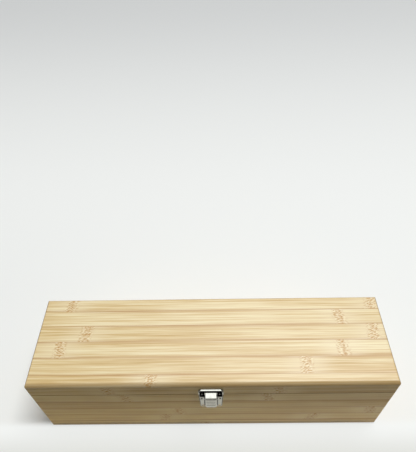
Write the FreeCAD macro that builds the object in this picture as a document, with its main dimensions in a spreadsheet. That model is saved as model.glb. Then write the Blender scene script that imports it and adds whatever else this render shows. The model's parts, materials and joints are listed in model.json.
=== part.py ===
import FreeCAD, Part
import math
import os
from collections import namedtuple
from types import SimpleNamespace

import Sketcher

# Presentation box for one bottle, in laminated bamboo.
# Four mitred walls, a floor and a neck rest make the base.
# The lid is the upper part of the same carcass, sawn off and hung on two butt hinges at the back.
# A sprung latch at the front holds it shut: its claw reaches over a catch on the lid's keeper.
# Lengths are millimetres. The origin is the middle of the underside, +X runs along the box,
# +Y points to the hinges and +Z points up. Heights of the latch and hinges are counted from the seam.

SIZES = {
    # Carcass
    "box_length": 360.0,
    "box_depth": 98.0,
    "box_height": 104.0,
    "lid_height": 21.0,
    "wall_thickness": 8.0,
    "lid_panel_thickness": 4.5,
    "bottom_panel_thickness": 7.0,
    "corner_radius": 1.0,
    "lid_bevel_inset": 4.1,
    "lid_bevel_land": 0.4,
    "lid_bevel_radius": 5.1,
    "lid_rim_radius": 2.2,
    "bottom_ease_radius": 1.4,
    "rim_ease": 0.4,
    "seam_gap": 0.3,
    # Neck rest
    "bottle_radius": 38.0,
    "neck_radius": 16.5,
    "neck_rest_thickness": 9.0,
    "neck_rest_from_end": 82.0,
    "neck_rest_rise": 6.0,
    "neck_notch_ease": 1.2,
    "glue_clearance": 0.1,
    # Screws and nails
    "screw_shank_radius": 1.0,
    "screw_head_depth": 0.8,
    "screw_grip": 6.0,
    "screw_tip_length": 1.4,
    "screw_tip_radius": 0.25,
    "screw_recess_width": 0.5,
    "screw_recess_length": 2.2,
    "screw_recess_depth": 0.4,
    "nail_shank_radius": 0.6,
    "nail_head_radius": 0.9,
    "nail_head_height": 0.7,
    "nail_grip": 6.0,
    "nail_tip_length": 1.2,
    "nail_tip_radius": 0.2,
    "fastener_clearance": 0.05,
    "pilot_spare_depth": 0.3,
    "head_clearance": 0.15,
    # Hinges
    "hinge_spacing": 220.0,
    "hinge_width": 26.0,
    "hinge_leaf_reach": 13.0,
    "hinge_leaf_thickness": 1.0,
    "hinge_corner_radius": 1.5,
    "hinge_barrel_radius": 2.2,
    "hinge_pin_radius": 1.1,
    "hinge_wood_gap": 0.3,
    "hinge_screw_spacing": 15.0,
    "hinge_screw_reach": 8.5,
    "middle_knuckle_share": 0.4,
    "knuckle_gap": 0.3,
    "running_clearance": 0.05,
    # Latch as a whole
    "latch_offset": -0.8,
    "latch_width": 24.4,
    "latch_flange": 1.0,
    "latch_seam_gap": 0.4,
    # Keeper on the lid
    "keeper_height": 12.9,
    "keeper_ledge_depth": 1.95,
    "keeper_ledge_fall": 0.3,
    "keeper_depth": 5.4,
    "keeper_hood_height": 6.9,
    "keeper_plate_thickness": 0.7,
    "keeper_corner_radius": 2.7,
    "hood_corner_radius": 2.0,
    "keeper_edge_radius": 0.35,
    "keeper_window_height": 10.9,
    "keeper_nail_spread": 17.2,
    "keeper_nail_rise": 9.6,
    "keeper_nail_seat": 2.4,
    "catch_width": 9.6,
    "catch_depth": 3.0,
    "catch_height": 2.6,
    "catch_clearance": 0.35,
    # Housing on the base
    "housing_height": 29.0,
    "housing_foot_width": 21.6,
    "housing_top_depth": 2.6,
    "housing_depth": 4.2,
    "housing_foot_depth": 1.4,
    "housing_bulge_drop": 15.0,
    "housing_plate_thickness": 0.6,
    "housing_flange_thickness": 1.0,
    "housing_ear_rise": 1.6,
    "housing_corner_radius": 4.5,
    "housing_edge_radius": 0.9,
    "housing_nail_spread": 18.4,
    "housing_nail_drop": 3.6,
    "housing_nail_seat": 1.0,
    # Lever
    "lever_width": 10.9,
    "lever_side_gap": 1.4,
    "claw_side_gap": 0.7,
    "lever_depth": 8.3,
    "lever_thickness": 1.2,
    "lever_bend_radius": 1.8,
    "lever_ease_radius": 0.35,
    "claw_inset": 2.2,
    "claw_rise": 9.2,
    "claw_fall": 1.8,
    "pad_drop": 12.2,
    "pad_corner_radius": 1.6,
    "ridge_count": 4,
    "ridge_pitch": 3.8,
    "ridge_width": 1.9,
    "ridge_height": 0.15,
    "ridge_crest_share": 0.5,
    "ridge_start": 4.8,
    "ridge_margin": 1.3,
    "cheek_thickness": 1.1,
    "cheek_radius": 1.3,
    "cheek_flare": 4.5,
    "pivot_depth": 2.2,
    "pivot_drop": 6.0,
    "pivot_radius": 0.7,
    "pivot_recess": 0.4,
    # Leaf spring behind the lever
    "spring_width": 6.0,
    "spring_thickness": 0.4,
    "spring_top_drop": 3.0,
    "spring_bend_drop": 9.0,
    "spring_tip_drop": 11.0,
    "spring_gap": 0.2,
    # One overrun for every cut that leaves the solid
    "cut_overrun": 1.0,
}

MITRE_SHARE = math.sqrt(0.5)
MATCH_TOLERANCE = 1e-4
Z_UP = FreeCAD.Vector(0, 0, 1)
Y_BACK = FreeCAD.Vector(0, 1, 0)


class Size:
    """A size: its formula over the sheet's names, and what it comes to now."""

    def __init__(self, formula, value):
        self.formula = formula
        self.value = value

    def __add__(self, other):
        return Size(f"({self.formula} + {other.formula})", self.value + other.value)

    def __sub__(self, other):
        return Size(f"({self.formula} - {other.formula})", self.value - other.value)

    def __neg__(self):
        return Size(f"(-1 * {self.formula})", -self.value)

    def __mul__(self, other):
        if isinstance(other, Size):
            return Size(f"({self.formula} * {other.formula})", self.value * other.value)
        return Size(f"({self.formula} * {other!r})", self.value * other)

    def __truediv__(self, other):
        if isinstance(other, Size):
            return Size(f"({self.formula} / {other.formula})", self.value / other.value)
        return Size(f"({self.formula} / {other!r})", self.value / other)

    def root(self):
        return Size(f"sqrt({self.formula})", math.sqrt(self.value))


ZERO = Size("0", 0.0)
Corner = namedtuple("Corner", "x y radius centre", defaults=(None, None))

doc = FreeCAD.newDocument("presentation_box")
sheet = doc.addObject("Spreadsheet::Sheet", "sizes")
for row, (name, number) in enumerate(SIZES.items(), start=1):
    sheet.set(f"A{row}", name)
    sheet.set(f"B{row}", str(number))
    sheet.setAlias(f"B{row}", name)
doc.recompute()
dim = SimpleNamespace(**{name: Size(f"sizes.{name}", number) for name, number in SIZES.items()})

# Places that several sub-parts share
seam_height = dim.box_height - dim.lid_height
inner_depth = dim.box_depth - dim.wall_thickness * 2
hinge_axis_y = dim.box_depth / 2 + dim.hinge_wood_gap + dim.hinge_barrel_radius
hinge_axis_z = seam_height + dim.seam_gap / 2
hinge_leaf_back = -(dim.hinge_wood_gap + dim.hinge_barrel_radius)
middle_knuckle = dim.hinge_width * dim.middle_knuckle_share
latch_place = (dim.latch_offset, -dim.box_depth / 2, seam_height)


# Drawing helpers

def bind(item, path, size):
    """Ties a property to the sheet."""
    item.setExpression(path, size.formula)


def put(item, place, axis=Z_UP, angle=0):
    """Turns an object about an axis and ties its place to the sheet."""
    item.Placement = FreeCAD.Placement(FreeCAD.Vector(), FreeCAD.Rotation(axis, angle))
    for letter, size in zip("xyz", place):
        bind(item, f"Placement.Base.{letter}", size)


def new_body(name, place, axis=Z_UP, angle=0):
    body = doc.addObject("PartDesign::Body", name)
    put(body, place, axis, angle)
    return body


def new_sketch(body, name, role, offset=ZERO):
    """A sketch on one of the body's own planes, moved along the plane's normal by the offset."""
    plane = next(feature for feature in body.Origin.OriginFeatures if feature.Role == role)
    sketch = body.newObject("Sketcher::SketchObject", name)
    sketch.AttachmentSupport = (plane, [""])
    sketch.MapMode = "FlatFace"
    bind(sketch, "AttachmentOffset.Base.z", offset)
    return sketch


def hold_value(sketch, constraint, size):
    number = sketch.addConstraint(constraint)
    bind(sketch, f"Constraints[{number}]", size)


def hold_point(sketch, item, end, x, y):
    """Holds a point of the sketch at its distances from the origin."""
    for kind, size, axis in (("DistanceX", x, -2), ("DistanceY", y, -1)):
        if size is ZERO:
            sketch.addConstraint(Sketcher.Constraint("PointOnObject", item, end, axis))
        else:
            hold_value(sketch, Sketcher.Constraint(kind, -1, 1, item, end, size.value), size)


def draw_outline(sketch, corners):
    """Draws a closed outline. A corner with a radius is reached by an arc round its centre."""
    first = sketch.GeometryCount
    ends = []
    for before, corner in zip(corners[-1:] + corners[:-1], corners):
        start = FreeCAD.Vector(before.x.value, before.y.value, 0)
        stop = FreeCAD.Vector(corner.x.value, corner.y.value, 0)
        if corner.radius is None:
            sketch.addGeometry(Part.LineSegment(start, stop))
            ends.append((1, 2))
            continue
        centre = FreeCAD.Vector(corner.centre[0].value, corner.centre[1].value, 0)
        angles = [math.atan2(point.y - centre.y, point.x - centre.x) for point in (start, stop)]
        forward = (start - centre).cross(stop - centre).z > 0
        circle = Part.Circle(centre, Z_UP, corner.radius.value)
        sketch.addGeometry(Part.ArcOfCircle(circle, *(angles if forward else angles[::-1])))
        ends.append((1, 2) if forward else (2, 1))
    for index, corner in enumerate(corners):
        following = (index + 1) % len(corners)
        here = (first + index, ends[index][1])
        there = (first + following, ends[following][0])
        sketch.addConstraint(Sketcher.Constraint("Coincident", *here, *there))
        hold_point(sketch, *here, corner.x, corner.y)
        if corner.radius is not None:
            rounding = Sketcher.Constraint("Radius", first + index, corner.radius.value)
            hold_value(sketch, rounding, corner.radius)


def draw_rectangle(sketch, left, right, low, high):
    draw_outline(sketch, [Corner(left, low), Corner(right, low), Corner(right, high), Corner(left, high)])


def draw_circle(sketch, x, y, radius):
    circle = Part.Circle(FreeCAD.Vector(x.value, y.value, 0), Z_UP, radius.value)
    item = sketch.addGeometry(circle)
    hold_point(sketch, item, 3, x, y)
    hold_value(sketch, Sketcher.Constraint("Radius", item, radius.value), radius)


def add(body, name, sketch, length, sides="One side"):
    """Pads a sketch along its normal, or evenly to both sides."""
    pad = body.newObject("PartDesign::Pad", name)
    pad.Profile = sketch
    pad.SideType = sides
    bind(pad, "Length", length)
    doc.recompute()
    return pad


def cut(body, name, sketch, length=None, sides="One side", along_normal=False):
    """Pockets a sketch, right through where no length is given, and makes sure that it cut something."""
    doc.recompute()
    volume_before = body.Shape.Volume
    pocket = body.newObject("PartDesign::Pocket", name)
    pocket.Profile = sketch
    pocket.SideType = sides
    pocket.Reversed = along_normal
    if length is None:
        pocket.Type = "ThroughAll"
    else:
        bind(pocket, "Length", length)
    doc.recompute()
    if body.Shape.Volume >= volume_before:
        raise RuntimeError(f"{body.Label}: {name} cuts nothing")


def dress(body, kind, name, size, chosen):
    """Rounds (Fillet) or bevels (Chamfer) the edges of the body that the test chooses."""
    doc.recompute()
    base = body.Tip
    edges = [f"Edge{n}" for n, edge in enumerate(base.Shape.Edges, start=1) if chosen(edge)]
    feature = body.newObject(f"PartDesign::{kind}", name)
    feature.Base = (base, edges)
    bind(feature, "Radius" if kind == "Fillet" else "Size", size)
    doc.recompute()


def near(number, size):
    return abs(number - size.value) < MATCH_TOLERANCE


def lies_at(edge, axis, size):
    """Whether the whole edge lies at one coordinate."""
    box = edge.BoundBox
    return near(getattr(box, axis + "Min"), size) and near(getattr(box, axis + "Max"), size)


def runs_along(edge, axis):
    """Whether the edge is a straight line parallel to one axis."""
    box = edge.BoundBox
    return all(getattr(box, other + "Length") < MATCH_TOLERANCE for other in "XYZ".replace(axis, ""))


def borders_one_slope(body, edge):
    """Whether just one of the edge's faces is a plane that looks outward and is tilted up or down."""
    count = 0
    for face in body.Tip.Shape.Faces:
        if not isinstance(face.Surface, Part.Plane):
            continue
        normal = face.normalAt(0, 0)
        tilted = normal.y < -MATCH_TOLERANCE and abs(normal.z) > MATCH_TOLERANCE
        if tilted and any(edge.isSame(other) for other in face.Edges):
            count += 1
    return count == 1


# Carcass

def mitred_board(name, length, height, place, angle, rim, holes=(), hole_radius=None, hole_depth=None):
    """A wall with mitred ends and a bevelled rim. Locally its outer face is y = 0 and its foot z = 0."""
    body = new_body(name, place, angle=angle)
    half = length / 2
    straight = half - dim.corner_radius
    ease = dim.corner_radius * MITRE_SHARE
    wall = dim.wall_thickness
    plan = new_sketch(body, "plan", "XY_Plane")
    draw_outline(plan, [
        Corner(-straight, ZERO, dim.corner_radius, (-straight, dim.corner_radius)),
        Corner(straight, ZERO),
        Corner(straight + ease, dim.corner_radius - ease, dim.corner_radius, (straight, dim.corner_radius)),
        Corner(half - wall, wall),
        Corner(wall - half, wall),
        Corner(-straight - ease, dim.corner_radius - ease),
    ])
    add(body, "board", plan, height)
    dress(body, "Chamfer", "rim_bevel", dim.rim_ease,
          lambda edge: lies_at(edge, "Z", rim) and edge.BoundBox.YMax < dim.corner_radius.value)
    if holes:
        drilling = new_sketch(body, "drilling", "XZ_Plane")
        for x, z in holes:
            draw_circle(drilling, x, z, hole_radius)
        cut(body, "pilot_holes", drilling, hole_depth)
    return body


def bottom_panel():
    """The floor, a board as large as the box with eased corners and an eased lower edge."""
    body = new_body("bottom_panel", (ZERO, ZERO, ZERO))
    half_length, half_depth = dim.box_length / 2, dim.box_depth / 2
    plan = new_sketch(body, "plan", "XY_Plane")
    draw_rectangle(plan, -half_length, half_length, -half_depth, half_depth)
    add(body, "board", plan, dim.bottom_panel_thickness)
    dress(body, "Fillet", "corners", dim.corner_radius, lambda edge: runs_along(edge, "Z"))
    dress(body, "Fillet", "foot", dim.bottom_ease_radius, lambda edge: lies_at(edge, "Z", ZERO))
    return body


def lid_panel():
    """The top board. A bulging bevel runs along its front to a narrow land. Its ends and back are rounded."""
    body = new_body("lid_panel", (ZERO, ZERO, dim.box_height - dim.lid_panel_thickness))
    half_length, half_depth = dim.box_length / 2, dim.box_depth / 2
    top = dim.lid_panel_thickness
    above = top + dim.cut_overrun
    plan = new_sketch(body, "plan", "XY_Plane")
    draw_rectangle(plan, -half_length, half_length, -half_depth, half_depth)
    add(body, "board", plan, top)
    dress(body, "Fillet", "corners", dim.corner_radius, lambda edge: runs_along(edge, "Z"))

    inset, land = dim.lid_bevel_inset, dim.lid_bevel_land
    drop = top - land
    chord_square = inset * inset + drop * drop
    reach_square = dim.lid_bevel_radius * dim.lid_bevel_radius - chord_square / 4
    lean = (reach_square / chord_square).root()
    centre = (inset / 2 + drop * lean - half_depth, land + drop / 2 - inset * lean)
    beyond = -half_depth - dim.cut_overrun
    bevel = new_sketch(body, "bevel", "YZ_Plane")
    draw_outline(bevel, [
        Corner(inset - half_depth, top),
        Corner(-half_depth, land, dim.lid_bevel_radius, centre),
        Corner(beyond, land),
        Corner(beyond, above),
        Corner(inset - half_depth, above),
    ])
    cut(body, "front_bevel", bevel, sides="Symmetric")

    radius = dim.lid_rim_radius

    def draw_round(sketch, edge, reach, overrun):
        """What the round takes off the board at an upper edge, with its reach and overrun counted outward."""
        draw_outline(sketch, [
            Corner(edge - reach, top),
            Corner(edge, top - radius, radius, (edge - reach, top - radius)),
            Corner(edge + overrun, top - radius),
            Corner(edge + overrun, above),
            Corner(edge - reach, above),
        ])

    back = new_sketch(body, "back", "YZ_Plane")
    draw_round(back, half_depth, radius, dim.cut_overrun)
    cut(body, "back_round", back, sides="Symmetric")
    ends = new_sketch(body, "ends", "XZ_Plane")
    draw_round(ends, half_length, radius, dim.cut_overrun)
    draw_round(ends, -half_length, -radius, -dim.cut_overrun)
    cut(body, "end_rounds", ends, sides="Symmetric")
    return body


def hinge_holes(level):
    """Pilot holes for both hinges' screws in a back wall, at one height above its foot."""
    half = dim.hinge_screw_spacing / 2
    middle = dim.hinge_spacing / 2
    return [(x, level) for x in (-middle - half, half - middle, middle - half, middle + half)]


def latch_holes(spread, level):
    """Pilot holes for two of the latch's nails in a front wall, at one height above its foot."""
    return [(dim.latch_offset - spread / 2, level), (dim.latch_offset + spread / 2, level)]


def carcass(prefix, suffix, height, foot, rim, hinge_level, nail_spread, nail_level):
    """The four walls of the base or of the lid, drilled for the hinges and the latch."""
    length, depth = dim.box_length, dim.box_depth
    screw = dim.screw_shank_radius + dim.fastener_clearance
    nail = dim.nail_shank_radius + dim.fastener_clearance
    front = (ZERO, -depth / 2, foot)
    back = (ZERO, depth / 2, foot)
    left = (-length / 2, ZERO, foot)
    right = (length / 2, ZERO, foot)
    return [
        mitred_board(f"{prefix}_front_{suffix}", length, height, front, 0, rim,
                     latch_holes(nail_spread, nail_level), nail, dim.nail_grip + dim.pilot_spare_depth),
        mitred_board(f"{prefix}_back_{suffix}", length, height, back, 180, rim,
                     hinge_holes(hinge_level), screw, dim.screw_grip + dim.pilot_spare_depth),
        mitred_board(f"{prefix}_left_{suffix}", depth, height, left, -90, rim),
        mitred_board(f"{prefix}_right_{suffix}", depth, height, right, 90, rim),
    ]


def neck_rest():
    """A board across the base with a round-bottomed notch for the bottle's neck."""
    middle = dim.box_length / 2 - dim.wall_thickness - dim.neck_rest_from_end
    body = new_body("neck_rest", (middle, ZERO, dim.bottom_panel_thickness))
    half = inner_depth / 2 - dim.glue_clearance
    top = dim.bottle_radius + dim.neck_rest_rise
    notch = dim.neck_radius
    centre = (ZERO, dim.bottle_radius)
    face = new_sketch(body, "face", "YZ_Plane")
    draw_outline(face, [
        Corner(-half, ZERO),
        Corner(half, ZERO),
        Corner(half, top),
        Corner(notch, top),
        Corner(notch, dim.bottle_radius),
        Corner(ZERO, dim.bottle_radius - notch, notch, centre),
        Corner(-notch, dim.bottle_radius, notch, centre),
        Corner(-notch, top),
        Corner(-half, top),
    ])
    add(body, "board", face, dim.neck_rest_thickness, "Symmetric")

    def round_notch(edge):
        box = edge.BoundBox
        on_face = box.XLength < MATCH_TOLERANCE
        inside = max(-box.YMin, box.YMax) < notch.value + MATCH_TOLERANCE
        return on_face and inside

    dress(body, "Fillet", "notch_ease", dim.neck_notch_ease, round_notch)
    return body


# Fasteners

def spun(name, place, angle, corners):
    """A solid turned about its own y axis."""
    body = new_body(name, place, angle=angle)
    section = new_sketch(body, "section", "XY_Plane")
    draw_outline(section, corners)
    turned = body.newObject("PartDesign::Revolution", "turned")
    turned.Profile = section
    turned.ReferenceAxis = (section, ["V_Axis"])
    turned.Angle = 360
    doc.recompute()
    return body


def wood_screw(name, x, z):
    """A countersunk screw, flush with the outside of a hinge leaf on the back of the box."""
    length = dim.hinge_leaf_thickness + dim.screw_grip
    place = (x, dim.box_depth / 2 + dim.hinge_leaf_thickness, z)
    body = spun(name, place, 0, [
        Corner(ZERO, -length),
        Corner(dim.screw_tip_radius, -length),
        Corner(dim.screw_shank_radius, dim.screw_tip_length - length),
        Corner(dim.screw_shank_radius, -dim.screw_head_depth),
        Corner(dim.screw_shank_radius + dim.screw_head_depth, ZERO),
        Corner(ZERO, ZERO),
    ])
    arm = dim.screw_recess_length / 2
    half = dim.screw_recess_width / 2
    cross = new_sketch(body, "cross", "XZ_Plane")
    draw_outline(cross, [
        Corner(-half, -arm), Corner(half, -arm), Corner(half, -half), Corner(arm, -half),
        Corner(arm, half), Corner(half, half), Corner(half, arm), Corner(-half, arm),
        Corner(-half, half), Corner(-arm, half), Corner(-arm, -half), Corner(-half, -half),
    ])
    cut(body, "recess", cross, dim.screw_recess_depth, along_normal=True)
    return body


def dome_nail(name, x, z, seat):
    """A nail with a domed head that sits the given distance out from the front of the box."""
    length = seat + dim.nail_grip
    height = dim.nail_head_height
    radius = dim.nail_head_radius
    dome = (radius * radius + height * height) / (height * 2)
    return spun(name, (x, -dim.box_depth / 2 - seat, z), 180, [
        Corner(ZERO, -length),
        Corner(dim.nail_tip_radius, -length),
        Corner(dim.nail_shank_radius, dim.nail_tip_length - length),
        Corner(dim.nail_shank_radius, ZERO),
        Corner(radius, ZERO),
        Corner(ZERO, height, dome, (ZERO, height - dome)),
    ])


def group(name, members):
    """Like pieces that share one name."""
    compound = doc.addObject("Part::Compound", name)
    compound.Links = members
    return compound


def hinge_screws(name, level):
    """The screws of both hinges in one height, each pair on its own leaf."""
    half = dim.hinge_screw_spacing / 2
    middle = dim.hinge_spacing / 2
    places = (-middle - half, half - middle, middle - half, middle + half)
    return group(name, [wood_screw(f"{name}_{n}", x, level) for n, x in enumerate(places, start=1)])


def latch_nails(name, spread, level, seat):
    """The two nails of one half of the latch."""
    places = (dim.latch_offset - spread / 2, dim.latch_offset + spread / 2)
    return group(name, [dome_nail(f"{name}_{n}", x, level, seat) for n, x in enumerate(places, start=1)])


# Hinges

def hinge_leaf(name, middle, on_lid):
    """A leaf that hangs from its knuckles. The lid's has the middle knuckle and is turned upside down."""
    body = new_body(name, (middle, hinge_axis_y, hinge_axis_z), Y_BACK, 180 if on_lid else 0)
    half = dim.hinge_width / 2
    front = hinge_leaf_back + dim.hinge_leaf_thickness
    root = -(dim.hinge_barrel_radius + dim.knuckle_gap)
    section = new_sketch(body, "section", "YZ_Plane")
    draw_rectangle(section, hinge_leaf_back, front, -dim.hinge_leaf_reach, ZERO)
    add(body, "plate", section, dim.hinge_width, "Symmetric")

    slots = new_sketch(body, "slots", "XZ_Plane")
    if on_lid:
        knuckles = [(ZERO, middle_knuckle)]
        beyond = half + dim.cut_overrun
        draw_rectangle(slots, -beyond, -middle_knuckle / 2, root, dim.cut_overrun)
        draw_rectangle(slots, middle_knuckle / 2, beyond, root, dim.cut_overrun)
    else:
        width = half - middle_knuckle / 2 - dim.knuckle_gap
        knuckles = [(width / 2 - half, width), (half - width / 2, width)]
        slot = middle_knuckle / 2 + dim.knuckle_gap
        draw_rectangle(slots, -slot, slot, root, dim.cut_overrun)
    cut(body, "knuckle_slots", slots, sides="Symmetric")

    for centre, width in knuckles:
        ring = new_sketch(body, "ring", "YZ_Plane", centre)
        draw_circle(ring, ZERO, ZERO, dim.hinge_barrel_radius)
        add(body, "knuckle", ring, width, "Symmetric")
    bore = new_sketch(body, "bore", "YZ_Plane")
    draw_circle(bore, ZERO, ZERO, dim.hinge_pin_radius + dim.running_clearance)
    cut(body, "pin_bore", bore, sides="Symmetric")

    dress(body, "Fillet", "corners", dim.hinge_corner_radius,
          lambda edge: runs_along(edge, "Y") and lies_at(edge, "Z", -dim.hinge_leaf_reach))
    drilling = new_sketch(body, "drilling", "XZ_Plane")
    for x in (-dim.hinge_screw_spacing / 2, dim.hinge_screw_spacing / 2):
        draw_circle(drilling, x, -dim.hinge_screw_reach, dim.screw_shank_radius + dim.fastener_clearance)
    cut(body, "screw_holes", drilling, sides="Symmetric")
    dress(body, "Chamfer", "countersinks", dim.screw_head_depth,
          lambda edge: isinstance(edge.Curve, Part.Circle) and edge.isClosed() and lies_at(edge, "Y", front))
    return body


def round_pin(name, radius, length, place):
    """A round pin along X, centred on its place."""
    pin = doc.addObject("Part::Cylinder", name)
    bind(pin, "Radius", radius)
    bind(pin, "Height", length)
    x, y, z = place
    put(pin, (x - length / 2, y, z), Y_BACK, 90)
    return pin


# Latch, drawn in section with the wood on local y = 0 and the outside towards -y

def nail_holes(body, spread, level, seat):
    """Holes for two nails, widened where the heads sit."""
    shanks = new_sketch(body, "shanks", "XZ_Plane")
    heads = new_sketch(body, "heads", "XZ_Plane", seat)
    for x in (-spread / 2, spread / 2):
        draw_circle(shanks, x, level, dim.nail_shank_radius + dim.fastener_clearance)
        draw_circle(heads, x, level, dim.nail_head_radius + dim.head_clearance)
    cut(body, "nail_holes", shanks, along_normal=True)
    cut(body, "nail_seats", heads, along_normal=True)


def claw_underside(depth):
    """Height of the claw's underside above the seam, at a distance out from the wood."""
    run = (depth - dim.claw_inset) / (dim.lever_depth - dim.claw_inset)
    return dim.claw_rise - dim.lever_thickness - dim.claw_fall * run


def latch_keeper():
    """The flanged plate on the lid, with a hood that has a window for the claw, and the catch behind it."""
    body = new_body("latch_keeper", latch_place)
    plate = dim.keeper_plate_thickness
    top = dim.keeper_height
    hood = top - dim.keeper_hood_height
    wide = dim.latch_width / 2
    plan = new_sketch(body, "plan", "XZ_Plane")
    draw_rectangle(plan, -wide, wide, dim.latch_seam_gap, top)
    add(body, "plate", plan, plate)
    dress(body, "Fillet", "corners", dim.keeper_corner_radius,
          lambda edge: runs_along(edge, "Y") and lies_at(edge, "Z", top))
    hood_wide = wide - dim.latch_flange
    straight = hood_wide - dim.hood_corner_radius
    shoulder = top - dim.hood_corner_radius
    front = new_sketch(body, "front", "XZ_Plane")
    draw_outline(front, [
        Corner(-hood_wide, hood),
        Corner(hood_wide, hood),
        Corner(hood_wide, shoulder),
        Corner(straight, top, dim.hood_corner_radius, (straight, shoulder)),
        Corner(-straight, top),
        Corner(-hood_wide, shoulder, dim.hood_corner_radius, (-straight, shoulder)),
    ])
    add(body, "hood", front, dim.keeper_depth)
    beyond = dim.keeper_depth + dim.cut_overrun
    section = new_sketch(body, "section", "YZ_Plane")
    draw_outline(section, [
        Corner(-plate, top),
        Corner(-dim.keeper_ledge_depth, top - dim.keeper_ledge_fall),
        Corner(-dim.keeper_depth, hood),
        Corner(-beyond, hood),
        Corner(-beyond, top + dim.cut_overrun),
        Corner(-plate, top + dim.cut_overrun),
    ])
    cut(body, "hood_slope", section, sides="Symmetric")

    def slope_rim(edge):
        below_ledge = edge.BoundBox.YMin < -dim.keeper_ledge_depth.value - MATCH_TOLERANCE
        at_ledge = runs_along(edge, "X") and lies_at(edge, "Y", -dim.keeper_ledge_depth)
        return at_ledge or (below_ledge and borders_one_slope(body, edge))

    dress(body, "Fillet", "hood_edges", dim.keeper_edge_radius, slope_rim)
    half = dim.lever_width / 2 + dim.claw_side_gap
    window = new_sketch(body, "window", "XZ_Plane", plate)
    draw_rectangle(window, -half, half, hood - dim.cut_overrun, dim.keeper_window_height)
    cut(body, "claw_window", window, along_normal=True)
    catch_top = claw_underside(plate + dim.catch_depth) - dim.catch_clearance
    catch = new_sketch(body, "catch", "XZ_Plane", plate)
    draw_rectangle(catch, -dim.catch_width / 2, dim.catch_width / 2, catch_top - dim.catch_height, catch_top)
    add(body, "catch_ledge", catch, dim.catch_depth)
    nail_holes(body, dim.keeper_nail_spread, dim.keeper_nail_rise, dim.keeper_nail_seat)
    return body


def latch_housing():
    """The tapered, flanged plate on the base, with two bulging ears that carry the pivot."""
    body = new_body("latch_housing", latch_place)
    top = -dim.latch_seam_gap
    foot = -dim.housing_height
    wide = dim.latch_width / 2
    narrow = dim.housing_foot_width / 2
    flange = dim.housing_flange_thickness
    plan = new_sketch(body, "plan", "XZ_Plane")
    draw_outline(plan, [Corner(-narrow, foot), Corner(narrow, foot), Corner(wide, top), Corner(-wide, top)])
    add(body, "plate", plan, flange)
    dress(body, "Fillet", "corners", dim.housing_corner_radius,
          lambda edge: runs_along(edge, "Y") and lies_at(edge, "Z", foot))
    ear_foot = foot + dim.housing_ear_rise
    section = new_sketch(body, "section", "YZ_Plane")
    draw_outline(section, [
        Corner(-flange, top),
        Corner(-dim.housing_top_depth, top),
        Corner(-dim.housing_depth, -dim.housing_bulge_drop),
        Corner(-dim.housing_foot_depth, ear_foot),
        Corner(-flange, ear_foot),
    ])
    ear_wide = wide - dim.latch_flange
    ear_narrow = narrow - dim.latch_flange
    add(body, "block", section, ear_wide * 2, "Symmetric")
    tapers = new_sketch(body, "tapers", "XZ_Plane", flange)
    draw_outline(tapers, [Corner(ear_wide, top), Corner(ear_wide, ear_foot), Corner(ear_narrow, ear_foot)])
    draw_outline(tapers, [Corner(-ear_wide, top), Corner(-ear_narrow, ear_foot), Corner(-ear_wide, ear_foot)])
    cut(body, "side_tapers", tapers, along_normal=True)
    dress(body, "Fillet", "ear_corners", dim.housing_corner_radius - dim.latch_flange,
          lambda edge: runs_along(edge, "Y") and lies_at(edge, "Z", ear_foot))
    dress(body, "Fillet", "ear_edges", dim.housing_edge_radius, lambda edge: borders_one_slope(body, edge))
    half = dim.lever_width / 2 + dim.lever_side_gap
    channel = new_sketch(body, "channel", "XZ_Plane", dim.housing_plate_thickness)
    draw_rectangle(channel, -half, half, foot - dim.cut_overrun, dim.cut_overrun)
    cut(body, "lever_channel", channel, along_normal=True)
    pivot = new_sketch(body, "pivot", "YZ_Plane")
    draw_circle(pivot, -dim.pivot_depth, -dim.pivot_drop, dim.pivot_radius + dim.running_clearance)
    cut(body, "pivot_hole", pivot, sides="Symmetric")
    nail_holes(body, dim.housing_nail_spread, -dim.housing_nail_drop, dim.housing_nail_seat)
    return body


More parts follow.
